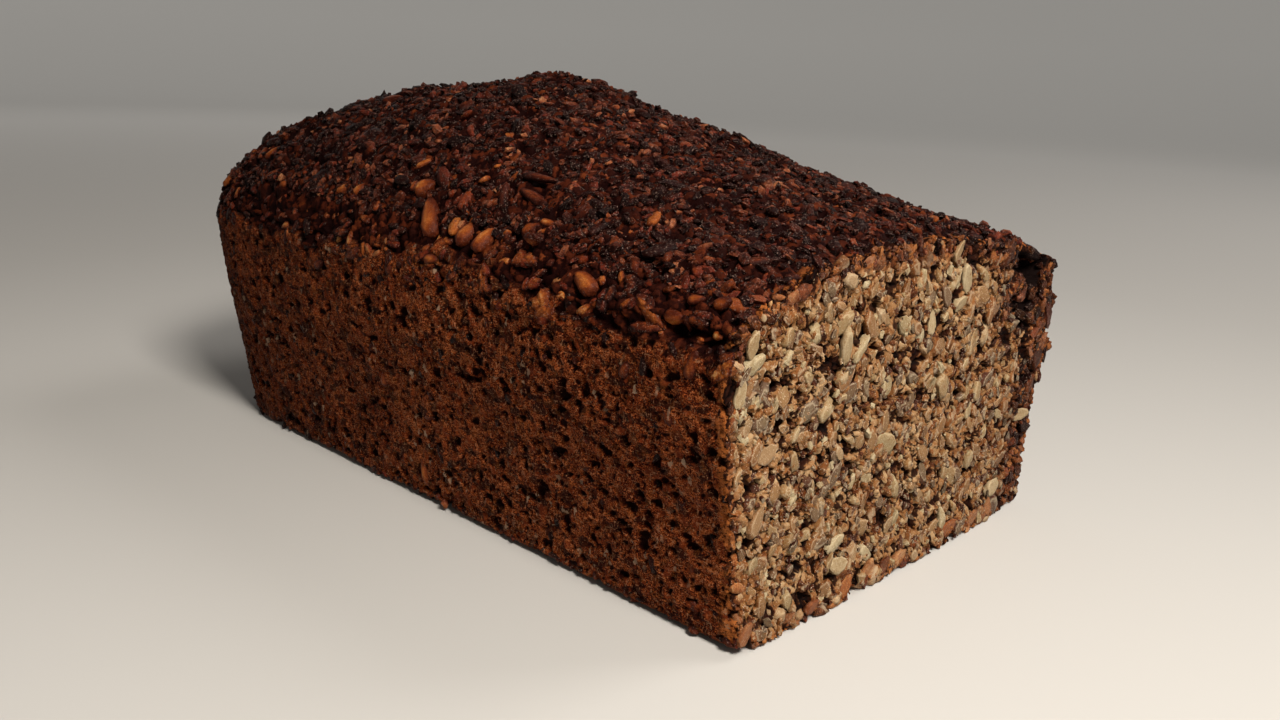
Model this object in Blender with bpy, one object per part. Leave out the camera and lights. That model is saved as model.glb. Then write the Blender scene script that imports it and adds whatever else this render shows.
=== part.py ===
"""Black bread: a dense, seeded rye loaf baked in a tin, with one end sliced off.

Metres, +Z up. The loaf lies along X, with its baked end at -X and its cut face
at +X. It rests on its flat base at Z = 0, and the origin is under its middle.
It is one solid: a box cut into a grid, then shaped by one function for each
feature of the crust.
"""

import bmesh
import bpy
import numpy as np
from mathutils import Vector, noise

# The loaf, as the tin leaves it.
BASE_LENGTH = 0.224
BASE_WIDTH = 0.131
SHOULDER_WIDTH = 0.144
WALL_HEIGHT = 0.068
END_LEAN = 0.0084

# Rounding along X, along Y, over the top and under the base.
END_ROUND = 0.031
SIDE_ROUND = 0.020
TOP_ROUND = 0.0072
BASE_ROUND = 0.0027
TOP_BEND = 2
BASE_BEND = 6

# How far the crown rises over the shoulders, at five even stations from the
# baked end to the cut, and how much more it rises on the front side.
CROWN_HEIGHTS = (0.0225, 0.0332, 0.0339, 0.0217, 0.0104)
CROWN_SKEW = 0.0024

# A hump on the ridge: its place as a share of the length and across, its height,
# and how far it spreads along and across.
HUMP_ALONG = 0.43
HUMP_Y = 0.006
HUMP_HEIGHT = 0.0036
HUMP_SPREAD = (0.017, 0.0115)

# How far the crust's edge over the cut is worn down, and how far back.
WORN_DEPTH = 0.0028
WORN_REACH = 0.0070

# Walls that swell a little below the shoulders.
BULGE = 0.0014
BULGE_HEIGHT = 0.050
BULGE_HALF_HEIGHT = 0.017

# The knife ran outwards at the bottom of the cut, most on the front side: how
# far, over what height, and how far back the wall goes with it.
FOOT_REACH = 0.0030
FOOT_HEIGHT = 0.009
FOOT_LENGTH = 0.030

# The crease where the crust rose over the tin's edge, with a deep crack in it
# close to the cut on the front side.
CREASE_DEPTH = 0.0013
CREASE_HALF_HEIGHT = 0.0024
CRACK_DEPTH = 0.0027
CRACK_FROM_CUT = 0.0145
CRACK_HALF_LENGTH = 0.0125

# Lumps of seeds: size of the widest ones, and how far they swell the top and the walls.
LUMP_SIZE = 0.016
TOP_LUMP = 0.0020
WALL_LUMP = 0.0006

# Where crumb broke out of the cut, at the back shoulder.
HOLLOW_Y = 0.0615
HOLLOW_Z = 0.0595
HOLLOW_DEPTH = 0.0050
HOLLOW_RADIUS = 0.0068

GRID_STEP = 0.0060
CREASE_ROWS = (-0.0048, -0.0024, 0.0, 0.0024)

CRUST_COLOUR = (0.055, 0.018, 0.008, 1.0)
CRUMB_COLOUR = (0.240, 0.130, 0.065, 1.0)

FRONT = -1


def stations(start, stop, step):
    """Even stations from start to stop, no further apart than step."""
    count = int(np.ceil((stop - start) / step))
    return np.linspace(start, stop, count + 1)


def gridded_box(name, columns, rows, levels):
    """A box through the outermost stations, cut by a plane at each other one."""
    cuts = (columns, rows, levels)
    middle = [(cut[0] + cut[-1]) / 2 for cut in cuts]
    size = [cut[-1] - cut[0] for cut in cuts]
    shape = bmesh.new()
    bmesh.ops.create_cube(shape, size=1.0)
    bmesh.ops.scale(shape, verts=shape.verts, vec=size)
    bmesh.ops.translate(shape, verts=shape.verts, vec=middle)
    for axis, cut in enumerate(cuts):
        for place in cut[1:-1]:
            normal = np.eye(3)[axis]
            bmesh.ops.bisect_plane(
                shape,
                geom=shape.verts[:] + shape.edges[:] + shape.faces[:],
                plane_co=normal * place,
                plane_no=normal,
            )
    mesh = bpy.data.meshes.new(name)
    shape.to_mesh(mesh)
    shape.free()
    return mesh


def rounded(points):
    """Points with the box's edges rounded to quarter ellipses, and each one's outward direction.

    The cut end has no rounding, so its edge stays sharp.
    """
    top = WALL_HEIGHT + TOP_ROUND
    inner_low = (-BASE_LENGTH / 2 + END_ROUND, -BASE_WIDTH / 2 + SIDE_ROUND, BASE_ROUND)
    inner_high = (BASE_LENGTH / 2, BASE_WIDTH / 2 - SIDE_ROUND, top - TOP_ROUND)
    inner = np.clip(points, inner_low, inner_high)
    offset = points - inner
    below = offset[:, 2] < 0
    radius = np.empty_like(points)
    radius[:, 0] = END_ROUND
    radius[:, 1] = SIDE_ROUND
    radius[:, 2] = np.where(below, BASE_ROUND, TOP_ROUND)
    share = offset / radius
    bend = np.where(below, BASE_BEND, TOP_BEND)
    flat = np.hypot(share[:, 0], share[:, 1])
    length = (flat**bend + np.abs(share[:, 2]) ** bend) ** (1 / bend)
    outermost = np.abs(share).max(axis=1)
    share *= (outermost / np.maximum(length, 1e-9))[:, None]
    outward = share / radius
    outward /= np.maximum(np.linalg.norm(outward, axis=1), 1e-9)[:, None]
    return inner + share * radius, outward


def smooth_step(value):
    """0 below 0, 1 above 1, and an even S between."""
    value = np.clip(value, 0, 1)
    return value * value * (3 - 2 * value)


def bell(value):
    """1 at 0, falling to 0 on both sides."""
    return np.exp(-(value**2))


def crown_rise(points):
    """How far the risen top stands over each point of the flat-topped loaf."""
    along = points[:, 0] / BASE_LENGTH + 0.5
    across = np.clip(points[:, 1] / (BASE_WIDTH / 2), -1, 1)
    places = np.linspace(0, 1, len(CROWN_HEIGHTS))
    ridge = np.polyval(np.polyfit(places, CROWN_HEIGHTS, len(places) - 1), along)
    dome = ridge * (1 - across**2)
    skew = FRONT * CROWN_SKEW * across * (1 - across**4)
    hump_along = (along - HUMP_ALONG) * BASE_LENGTH / HUMP_SPREAD[0]
    hump_across = (points[:, 1] - HUMP_Y) / HUMP_SPREAD[1]
    hump = HUMP_HEIGHT * bell(np.hypot(hump_along, hump_across))
    worn = WORN_DEPTH * bell((1 - along) * BASE_LENGTH / WORN_REACH)
    return (dome + skew + hump - worn) * smooth_step((points[:, 2] - WALL_HEIGHT) / TOP_ROUND)


def flared(points, height):
    """Walls that lean outwards to the shoulders, as a tin's do. The cut stays upright."""
    share = np.clip(height / WALL_HEIGHT, 0, 1)
    from_cut = 0.5 - points[:, 0] / BASE_LENGTH
    result = points.copy()
    result[:, 0] -= END_LEAN * share * from_cut
    result[:, 1] *= 1 + (SHOULDER_WIDTH / BASE_WIDTH - 1) * share
    return result


def crease(points, height, outward):
    """Inward push along the crease, deeper in the crack near the cut on the front."""
    across = bell((height - WALL_HEIGHT) / CREASE_HALF_HEIGHT)
    from_crack = points[:, 0] - (BASE_LENGTH / 2 - CRACK_FROM_CUT)
    crack = CRACK_DEPTH * bell(from_crack / CRACK_HALF_LENGTH)
    depth = CREASE_DEPTH + np.where(points[:, 1] * FRONT > 0, crack, 0)
    level = outward * (1, 1, 0)
    return -level * (depth * across)[:, None]


def bulge(points, height):
    """Outward push of both long walls below their shoulders."""
    side = np.clip(points[:, 1] / (BASE_WIDTH / 2), -1, 1)
    push = BULGE * bell((height - BULGE_HEIGHT) / BULGE_HALF_HEIGHT) * side
    return np.stack([0 * push, push, 0 * push], axis=1)


def lumps(points, outward):
    """Uneven swellings of the crust: noise of two sizes, along the outward direction."""
    swell = np.array(
        [
            noise.noise(Vector(place)) + 0.5 * noise.noise(Vector(place * 2))
            for place in points / LUMP_SIZE
        ]
    )
    up = np.maximum(outward[:, 2], 0)
    level = np.hypot(outward[:, 0], outward[:, 1])
    return outward * (swell * (TOP_LUMP * up + WALL_LUMP * level))[:, None]


def hollow(points, on_cut):
    """How far back from the cut each of its points lies, where crumb broke out."""
    distance = np.hypot(points[:, 1] - HOLLOW_Y, points[:, 2] - HOLLOW_Z)
    return np.where(on_cut, HOLLOW_DEPTH * bell(distance / HOLLOW_RADIUS), 0)


def foot(points):
    """How far the bottom of the cut runs outwards, fading back along the walls."""
    from_cut = BASE_LENGTH / 2 - points[:, 0]
    side = FRONT * points[:, 1] / (BASE_WIDTH / 2)
    reach = FOOT_REACH * smooth_step(1 - from_cut / FOOT_LENGTH) * smooth_step(1.3 + side)
    return reach * bell(points[:, 2] / FOOT_HEIGHT)


def loaf_points(box_points):
    """The loaf's surface, from the points of the gridded box."""
    on_cut = box_points[:, 0] > BASE_LENGTH / 2 - 1e-5
    points, outward = rounded(box_points)
    height = points[:, 2].copy()
    points[:, 2] += crown_rise(points)
    points = flared(points, height)
    points += crease(points, height, outward)
    points += bulge(points, height)
    points += lumps(points, outward)
    points[:, 0] = np.where(on_cut, BASE_LENGTH / 2, points[:, 0])
    points[:, 0] += foot(points) - hollow(points, on_cut)
    points[:, 2] -= points[:, 2].min()
    middle = (points[:, 0].min() + points[:, 0].max()) / 2
    centre = (points[:, 1].min() + points[:, 1].max()) / 2
    return points - (middle, centre, 0), on_cut


def material(name, colour, roughness):
    """A matt Principled material of one colour."""
    made = bpy.data.materials.new(name)
    made.use_nodes = True
    shader = made.node_tree.nodes["Principled BSDF"]
    shader.inputs["Base Color"].default_value = colour
    shader.inputs["Roughness"].default_value = roughness
    shader.inputs["Metallic"].default_value = 0.0
    made.diffuse_color = colour
    return made


def make_loaf(collection):
    """The loaf as one object, crust in its first material and the cut in its second."""
    half = BASE_LENGTH / 2
    side = BASE_WIDTH / 2
    top = WALL_HEIGHT + TOP_ROUND
    columns = [*stations(-half, half, GRID_STEP)[:-1], half - GRID_STEP / 2, half]
    rows = stations(-side, side, GRID_STEP)
    lowest_row = WALL_HEIGHT + CREASE_ROWS[0]
    wall = stations(BASE_ROUND, lowest_row, GRID_STEP)
    upper = [WALL_HEIGHT + row for row in CREASE_ROWS[1:]]
    levels = [0.0, *wall, *upper, WALL_HEIGHT + 0.75 * TOP_ROUND, top]
    mesh = gridded_box("loaf", columns, rows, levels)
    flat = np.empty(len(mesh.vertices) * 3, np.float32)
    mesh.vertices.foreach_get("co", flat)
    points, on_cut = loaf_points(flat.reshape(-1, 3).astype(float))
    mesh.vertices.foreach_set("co", points.astype(np.float32).ravel())
    mesh.materials.append(material("baked_crust", CRUST_COLOUR, 0.75))
    mesh.materials.append(material("cut_crumb", CRUMB_COLOUR, 0.85))
    for face in mesh.polygons:
        face.material_index = int(on_cut[list(face.vertices)].all())
    mesh.update()
    mesh.shade_smooth()
    mesh.set_sharp_from_angle(angle=np.radians(40))
    loaf = bpy.data.objects.new("loaf", mesh)
    collection.objects.link(loaf)
    return loaf


def main():
    for old in list(bpy.data.objects):
        bpy.data.objects.remove(old, do_unlink=True)
    collection = bpy.data.collections.new("black_bread")
    bpy.context.scene.collection.children.link(collection)
    make_loaf(collection)


main()
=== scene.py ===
# %% [markdown]
# # A seeded black bread
#
# This loaf is dense rye bread baked in a tin, which pressed its walls nearly flat.
# The top rose over the tin's edge as a dark crust of seeds and flakes, and a knife
# took off one end, which shows the pale kernels inside.
#
# The solid model gives the size and shape. The same shape is worked out again on
# fine grids, so that the crust can have real relief, and seeds are laid on it.

import bpy
import numpy as np
from mathutils import Matrix, Vector
from numpy.random import default_rng


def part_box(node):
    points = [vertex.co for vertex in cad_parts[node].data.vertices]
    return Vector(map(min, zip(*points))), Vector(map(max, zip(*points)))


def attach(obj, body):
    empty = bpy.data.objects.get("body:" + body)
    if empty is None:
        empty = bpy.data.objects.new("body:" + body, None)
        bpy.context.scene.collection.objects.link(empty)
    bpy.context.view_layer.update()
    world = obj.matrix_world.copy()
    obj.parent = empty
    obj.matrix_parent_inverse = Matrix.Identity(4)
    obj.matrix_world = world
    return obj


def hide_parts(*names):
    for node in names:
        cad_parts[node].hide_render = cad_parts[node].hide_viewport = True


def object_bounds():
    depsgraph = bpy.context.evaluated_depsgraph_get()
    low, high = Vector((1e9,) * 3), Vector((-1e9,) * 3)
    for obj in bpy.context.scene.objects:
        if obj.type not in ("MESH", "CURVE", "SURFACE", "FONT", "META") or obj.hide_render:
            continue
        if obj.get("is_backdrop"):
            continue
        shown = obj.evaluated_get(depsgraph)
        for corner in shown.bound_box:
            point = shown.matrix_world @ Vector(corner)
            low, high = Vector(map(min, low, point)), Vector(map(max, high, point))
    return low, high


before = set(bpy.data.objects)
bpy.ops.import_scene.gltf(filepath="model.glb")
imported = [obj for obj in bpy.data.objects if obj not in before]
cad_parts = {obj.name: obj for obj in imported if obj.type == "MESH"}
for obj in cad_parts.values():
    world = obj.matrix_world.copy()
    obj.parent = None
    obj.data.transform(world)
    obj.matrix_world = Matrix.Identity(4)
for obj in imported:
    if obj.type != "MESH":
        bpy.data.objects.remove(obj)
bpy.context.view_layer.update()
loaf_low, loaf_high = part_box("loaf")
MM = (loaf_high.x - loaf_low.x) / 235.1
print("one design millimetre is", round(MM * 1000, 4), "real ones")

# %% [markdown]
# ## The loaf's shape
#
# Every point of the surface comes from a point of a plain box: its edges are
# rounded, its top is raised to a crown and its walls lean as the tin's do. One
# function serves a coarse grid, a fine one, or a seed that looks for the crust.

# %% Sizes of the loaf
BASE_LENGTH = 224 * MM
BASE_WIDTH = 131 * MM
SIDE_Y = BASE_WIDTH / 2
SHOULDER_WIDTH = 144 * MM
WALL_TOP = 68 * MM
END_LEAN = 8.4 * MM
END_ROUND = 31 * MM
SIDE_ROUND = 20 * MM
TOP_ROUND = 7.2 * MM
BASE_ROUND = 2.7 * MM
BOX_TOP = WALL_TOP + TOP_ROUND
CROWN_HEIGHTS = np.array((22.5, 33.2, 33.9, 21.7, 10.4)) * MM
CROWN_SKEW = 2.4 * MM
HUMP = 3.6 * MM
WORN_EDGE = 2.8 * MM
WALL_BULGE = 1.4 * MM
CREASE = 0.8 * MM
CRACK = 3.6 * MM
FOOT_REACH = 3 * MM
CUT_X = loaf_high.x - FOOT_REACH
END_X = CUT_X - BASE_LENGTH


# %% The shape as a function of the box
def ease(value):
    """0 below 0, 1 above 1, and an even S between."""
    value = np.clip(value, 0, 1)
    return value * value * (3 - 2 * value)


def bell(value):
    """1 at 0, falling to 0 on both sides: e to the minus value squared."""
    return np.exp(-(value**2))


def rounded(box):
    """Box points with rounded edges, and outward directions.

    The offset from an inner point is divided by the radii, set to the length of its
    longest part, and multiplied back.
    """
    low = (END_X + END_ROUND, -SIDE_Y + SIDE_ROUND, BASE_ROUND)
    inner = np.clip(box, low, (CUT_X, SIDE_Y - SIDE_ROUND, WALL_TOP))
    offset = box - inner
    below = offset[:, 2] < 0
    radius = np.full_like(box, END_ROUND)
    radius[:, 1] = SIDE_ROUND
    radius[:, 2] = np.where(below, BASE_ROUND, TOP_ROUND)
    share = offset / radius
    bend = np.where(below, 6, 2)
    flat = np.hypot(share[:, 0], share[:, 1])
    length = (flat**bend + np.abs(share[:, 2]) ** bend) ** (1 / bend)
    share *= (np.abs(share).max(axis=1) / np.maximum(length, 1e-9))[:, None]
    outward = share / radius
    outward /= np.maximum(np.linalg.norm(outward, axis=1), 1e-9)[:, None]
    return inner + share * radius, outward


def crown(along, across):
    """How far the top rises: a curve along it, domed across, a hump, a worn edge."""
    places = np.linspace(0, 1, len(CROWN_HEIGHTS))
    ridge = np.polyval(np.polyfit(places, CROWN_HEIGHTS, len(places) - 1), along)
    dome = ridge * (1 - across**2) - CROWN_SKEW * across * (1 - across**4)
    hump = bell(np.hypot((along - 0.43) / 0.076, (across - 0.09) / 0.175))
    return dome + HUMP * hump - WORN_EDGE * bell((1 - along) * BASE_LENGTH / (7 * MM))


def foot(points):
    """How far the bottom of the cut runs outwards, fading back along the walls."""
    reach = ease(1 - (CUT_X - points[:, 0]) / (30 * MM))
    reach = reach * ease(1.3 - points[:, 1] / SIDE_Y)
    return FOOT_REACH * reach * bell(points[:, 2] / (9 * MM))


def loaf(box):
    """Points of the smooth loaf, outward directions, and heights before the rise."""
    points, outward = rounded(box)
    height = points[:, 2].copy()
    along = (points[:, 0] - END_X) / BASE_LENGTH
    across = np.clip(points[:, 1] / SIDE_Y, -1, 1)
    points[:, 2] += crown(along, across) * ease((height - WALL_TOP) / TOP_ROUND)
    share = np.clip(height / WALL_TOP, 0, 1)
    points[:, 0] -= END_LEAN * share * (1 - along)
    points[:, 1] *= 1 + (SHOULDER_WIDTH / BASE_WIDTH - 1) * share
    points[:, 1] += WALL_BULGE * across * bell((height - 50 * MM) / (17 * MM))
    crack = CRACK * bell((CUT_X - 13 * MM - points[:, 0]) / (12 * MM)) * (across < 0)
    groove = bell((height - WALL_TOP - 0.5 * MM) / (1.9 * MM))
    points -= outward * (1, 1, 0) * ((CREASE + crack) * groove)[:, None]
    points[:, 0] += foot(points)
    return points, outward, height


# %% [markdown]
# ## Noise in whole arrays
#
# Cell noise makes grains: space is cut into cubes, each holds one point, and a
# place belongs to the nearest point. Random numbers are the mixed bits of a
# cube's address, the same in every run.


# %% Random numbers, soft noise and cells
def hashed(cells, salt):
    """A number from 0 to 1 for each whole-number address: its bits, multiplied and folded."""
    parts = cells.astype(np.int64).astype(np.uint32)
    mixed = np.uint32((salt * 2654435761) % 2**32)
    for k, factor in enumerate((73856093, 19349663, 83492791)):
        mixed = mixed ^ (parts[..., k] * np.uint32(factor))
    for shift, factor in ((15, 2246822519), (13, 3266489917)):
        mixed = (mixed ^ (mixed >> np.uint32(shift))) * np.uint32(factor)
    return (mixed ^ (mixed >> np.uint32(16))) / 2.0**32


def soft_noise(points, size, salt):
    """-1 to 1, changing over size millimetres: eight corner values, blended."""
    place = points / (size * MM)
    corner = np.floor(place)
    share = ease(place - corner)
    total = np.zeros(len(points))
    for step in np.ndindex(2, 2, 2):
        weight = np.prod(np.where(step, share, 1 - share), axis=1)
        total += weight * hashed(corner + step, salt)
    return total * 2 - 1


def layered_noise(points, size, salt):
    """Soft noise, plus half as much at half the size."""
    return soft_noise(points, size, salt) + soft_noise(points, size / 2, salt + 1) / 2


def grains(points, size, salt, stretch=(1, 1, 1)):
    """For the nearest grain: how near, how far inside its edge, its number, its tilt.

    The edge is half way between the two nearest middles. The tilt is a slope of the
    grain's own, times the offset from its middle.
    """
    place = points / (size * MM * np.array(stretch))
    home = np.floor(place)
    nearest = second = np.full(len(points), 9.0)
    number = np.zeros(len(points))
    offset = np.zeros_like(points)
    for step in np.ndindex(3, 3, 3):
        cell = home + step - 1
        middle = cell + np.stack([hashed(cell, salt + k) for k in range(3)], axis=1)
        distance = np.linalg.norm(place - middle, axis=1)
        closer = distance < nearest
        second = np.where(closer, nearest, np.minimum(second, distance))
        number = np.where(closer, hashed(cell, salt + 3), number)
        offset = np.where(closer[:, None], place - middle, offset)
        nearest = np.where(closer, distance, nearest)
    slope = number[:, None] * (17.3, 39.1, 71.7) % 1 * 2 - 1
    return nearest, (second - nearest) / 2, number, (slope * offset).sum(axis=1)


# %% [markdown]
# ## The relief of the baked skin
#
# Where the tin pressed the dough, the skin is smooth but for pits, left by air,
# and the faint outlines of grains. Nothing flattened the top, so it is all
# grains and gaps. The two are blended by how far a place is top.


# %% Relief of walls and top
def warped(points, size, amount, salt):
    """Points moved by layered noise, so that grains get crooked outlines."""
    shifts = [layered_noise(points, size, salt + 10 * k) for k in range(3)]
    return points + amount * MM * np.stack(shifts, axis=1)


def pits(near, number, size, softness, share):
    """1 within size of the middles of that share of cells, with a soft edge."""
    return ease((size - near) / softness + 0.5) * (number < share)


def wall_relief(points):
    """The pressed skin: fine noise, less grooves at grain edges, less pits of two sizes."""
    bent = warped(points, 2.2, 1, 11)
    _, edge, number, tilt = grains(bent, 2.6, 41)
    near, _, pit_number, _ = grains(bent, 3.4, 71, (1.2, 1, 0.9))
    pit = pits(near, pit_number, 0.2 + 0.26 * (pit_number * 7 % 1) ** 1.5, 0.25, 0.75)
    near, _, speck_number, _ = grains(bent, 1.5, 76)
    speck = pits(near, speck_number, 0.42, 0.3, 0.3)
    groove = ease(1 - edge / 0.12) * (number > 0.4)
    out = 0.5 * soft_noise(points, 14, 81) + 0.26 * layered_noise(points, 1, 61)
    out += 0.4 * tilt - 0.16 * groove - 0.55 * speck - 1.6 * pit - 0.2
    # The hollow mask marks pits and grooves, which the skin material paints dark as shade.
    hollow = np.maximum(pit, np.maximum(0.8 * speck, 0.4 * groove))
    return out * MM, hollow, number


def top_relief(points):
    """The open crust: swellings and tilted domes of two sizes, less gaps."""
    bent = warped(points, 3, 0.9, 91)
    near, edge, number, tilt = grains(bent, 3, 101, (1.2, 1, 0.8))
    small_near, small_edge, small_number, small_tilt = grains(bent, 1.5, 106)
    dome = (1 - np.minimum(near, 1) ** 2) * ease(edge / 0.14)
    small_dome = (1 - np.minimum(small_near, 1) ** 2) * ease(small_edge / 0.2)
    gap = (number < 0.16) * ease(edge / 0.1)
    out = 1.1 * soft_noise(points, 15, 93) + 1.1 * soft_noise(points, 7, 94)
    out += 0.9 * dome + tilt + 0.7 * small_dome + 0.6 * small_tilt
    out += 0.16 * layered_noise(points, 0.8, 95) - 2 * gap - 1.6
    # The hollow mask marks gaps and the low ground between domes, painted dark as shade.
    hollow = np.clip(1.15 - 1.1 * dome - 0.35 * small_dome + gap, 0, 1)
    return out * MM, hollow, 0.6 * number + 0.4 * small_number


def openness(points, height):
    """0 on the pressed wall and 1 on the open crust, with a ragged line between."""
    ragged = 3 * soft_noise(points, 13, 201) + 2 * soft_noise(points, 4, 202)
    along = (points[:, 0] - END_X) / BASE_LENGTH
    # In front the line is highest a little past the middle, and lowest by the cut.
    climb = 4.5 * bell((along - 0.57) / 0.16) - 4 * ease((along - 0.78) / 0.12)
    line = WALL_TOP - 1.5 * MM + (climb * (points[:, 1] < 0) + ragged) * MM
    return ease((height - line) / (3.5 * MM) + 0.5)


# %% [markdown]
# ## The relief of the cut
#
# A knife goes through soft crumb but pushes hard grains aside, so some grains
# stand out and some are torn away. Crumb broke out in a few places. Each is a
# row: Y, height, radius and depth in millimetres.

# %% Relief of the cut
HOLLOWS = np.array((
    (58, 70.5, 4.4, 6.5), (51, 72.5, 2.6, 4.5),
    (54, 57, 3.8, 6), (48.5, 61.5, 2, 3.5),
    (57.5, 50.5, 2.2, 4.5), (46.5, 46, 1.8, 3.5),
    (-44, 12, 1.3, 3.5),
))


def broken_out(points):
    """How deep the crumb is missing, in millimetres, and how dark the place is:
    painted shade.

    A hollow has its full depth within its radius, and its painted shade reaches
    a little further.
    """
    crooked = warped(points, 5, 2.5, 181) / MM
    sunk = np.zeros(len(points))
    dark = np.zeros(len(points))
    for y, z, radius, depth in HOLLOWS:
        away = np.hypot(crooked[:, 1] - y, crooked[:, 2] - z) / radius
        sunk = np.maximum(sunk, depth * ease(3.5 - 2.5 * away))
        dark = np.maximum(dark, ease(3.9 - 2.5 * away))
    return sunk, dark


def back_share(points):
    """0 on the front half, rising to 1 at the back wall."""
    return ease(points[:, 1] / SIDE_Y)


def crumb_relief(points):
    """How far the cut stands out along X, how hollow it is, for painted shade, and
    its grain's number, less painted shade towards the back.

    Two sizes of tilted grain, less crevices at their edges, holes and lost crumb.
    """
    bent = warped(points, 3, 1.1, 111)
    _, edge, number, tilt = grains(bent, 3, 141, (1, 1, 1.2))
    _, small_edge, small_number, small_tilt = grains(bent, 1.35, 151)
    crevice = ease(1 - edge / 0.16)
    small_crevice = ease(1 - small_edge / 0.22)
    near, _, hole_number, _ = grains(bent, 4.6, 161, (1, 1.2, 0.9))
    hole = pits(near, hole_number, 0.14 + 0.26 * (hole_number * 5 % 1) ** 2, 0.16, 0.7)
    lost = (number < 0.1) * ease(edge / 0.1)
    out = 0.3 * number + tilt - 0.8 * crevice - 0.45 * small_crevice
    out += 0.55 * small_tilt + 0.22 * layered_noise(points, 0.9, 173)
    out += -2.8 * hole - 1.5 * lost - 0.5
    sunk, dark = broken_out(points)
    # Crevices, holes, lost crumb and broken-out hollows are marked for painted shade.
    hollow = 0.7 * crevice + hole + 0.9 * lost + 0.5 * small_crevice + 1.4 * dark
    # Darker towards the back: painted shade.
    tone = 0.55 * number + 0.45 * small_number - 0.1 * back_share(points)
    return (out - sunk) * MM, np.clip(hollow, 0, 1.4), tone


# %% [markdown]
# ## Six pieces from one function
#
# The skin needs a point about every half millimetre, too much for one mesh, so
# each side of the box makes a piece. A fan of faces to the loaf's middle closes
# it. Neighbours share the formula along their seam, so it doesn't show.


# %% The cut's own points
CUT_MIDDLE = np.array((0, 43 * MM))


def outline(box):
    """The box points, the cut's pushed out to its outline, and how far out they were."""
    on_cut = box[:, 0] > CUT_X - 1e-6
    side = np.abs(box[:, 1]) / SIDE_Y
    rise = np.abs(box[:, 2] / BOX_TOP * 2 - 1)
    reach = np.where(on_cut, np.maximum(np.maximum(side, rise), 1e-9), 1)
    middle = np.array((0, 0, BOX_TOP / 2))
    rim = (box - middle) / reach[:, None] + middle
    rim[:, 0] = box[:, 0]
    return rim, reach, on_cut


def drawn_in(points, reach, on_cut, height):
    """Outline points drawn back to where they were, on straight lines to the cut's middle.

    It also gives how deep each is, as under the top's crust: the heat went less deep
    through the tin, except at the back.
    """
    span = points[:, 1:] - CUT_MIDDLE
    depth = (1 - reach) * np.linalg.norm(span, axis=1)
    depth = depth * (1 + 1.6 * ease((WALL_TOP - height) / (9 * MM)))
    depth = depth * (1 - 0.85 * ease((points[:, 1] / SIDE_Y - 0.5) / 0.5))
    points[:, 1:] = CUT_MIDDLE + span * reach[:, None]
    points[:, 0] = np.where(on_cut, CUT_X + foot(points), points[:, 0])
    return points, depth / MM


# %% The finished surface
def ragged_base(points, from_cut, height):
    """How far the knife tore up the base: bites about 5 mm wide, near the cut only."""
    near = ease(1 - from_cut / (7 * MM)) * ease(1 - height / (7 * MM))
    return 2.4 * MM * near * ease(soft_noise(points, 4.6, 301) + 0.35)


def back_knobs(points, from_cut):
    """How far the crust stands out at the cut's back edge: two knobs, a gap under each."""
    height = points[:, 2] / MM
    out = 3.2 * bell((height - 58.3) / 3) + 4.2 * bell((height - 45.2) / 3)
    out -= 2 * bell((height - 51.6) / 2) - 0.8 * bell((height - 36) / 5)
    return out * MM * ease(1 - from_cut / (11 * MM)) * back_share(points)


def finished(box):
    """Surface points with their relief, and the values that the materials read.

    The wall's relief turns into the open crust's, and the cut's outline follows it.
    The cut has the crumb's relief along X, which fades out along the skin.
    """
    rim, reach, on_cut = outline(box)
    points, outward, height = loaf(rim)
    opened = openness(points, height)
    pairs = zip(wall_relief(points), top_relief(points))
    out, hollow, number = [wall + (crust - wall) * opened for wall, crust in pairs]
    out = np.where(outward[:, 2] < -0.3, np.minimum(out, -0.2 * MM), out)
    points += outward * out[:, None]
    from_cut = CUT_X - box[:, 0]
    points[:, 1] += back_knobs(points, from_cut)
    points[:, 2] += ragged_base(points, from_cut, height)
    points, depth = drawn_in(points, reach, on_cut, height)
    crumb_out, crumb_hollow_shade, crumb_number = crumb_relief(points)
    near_rim = ease((reach - 0.93) / 0.07)
    points[:, 0] += crumb_out * (1 - 0.4 * near_rim) * ease(1 - from_cut / (5 * MM))
    return points, {
        "hollow": np.where(on_cut, crumb_hollow_shade, hollow),
        "number": np.where(on_cut, crumb_number, number),
        "opened": opened,
        "depth": depth,
    }


# %% Meshes from arrays
def mesh_from(name, points, faces, smooth, values):
    """A mesh of groups of faces, smooth or flat, with an attribute for each value."""
    mesh = bpy.data.meshes.new(name)
    mesh.vertices.add(len(points))
    mesh.vertices.foreach_set("co", points.astype(np.float32).ravel())
    sides = np.concatenate([np.full(len(part), part.shape[1]) for part in faces])
    corners = np.concatenate([part.ravel() for part in faces])
    mesh.loops.add(len(corners))
    mesh.loops.foreach_set("vertex_index", corners.astype(np.int32))
    mesh.polygons.add(len(sides))
    starts = np.cumsum(sides) - sides
    mesh.polygons.foreach_set("loop_start", starts.astype(np.int32))
    mesh.update(calc_edges=True)
    mesh.polygons.foreach_set("use_smooth", np.repeat(smooth, [len(part) for part in faces]))
    for key, value in values.items():
        layer = mesh.attributes.new(key, "FLOAT", "POINT")
        layer.data.foreach_set("value", value.astype(np.float32))
    return mesh


def add_object(name, data):
    """An object at the origin, in the scene."""
    thing = bpy.data.objects.new(name, data)
    bpy.context.scene.collection.objects.link(thing)
    return thing


def piece_from(name, mesh, material):
    """The mesh as an object that rides on the loaf's body."""
    mesh.materials.append(material)
    piece = add_object(name, mesh)
    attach(piece, "root")
    triangles = sum(len(face.vertices) - 2 for face in mesh.polygons)
    print(name, "has", triangles, "triangles")
    return piece


# %% One wedge
MIDDLE = np.array((0, 0, 0.45 * (loaf_high.z - loaf_low.z)))


def even(low, high, step):
    """Even stations from low to high, about step millimetres apart."""
    return np.linspace(low, high, round((high - low) / (step * MM)) + 1)


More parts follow.
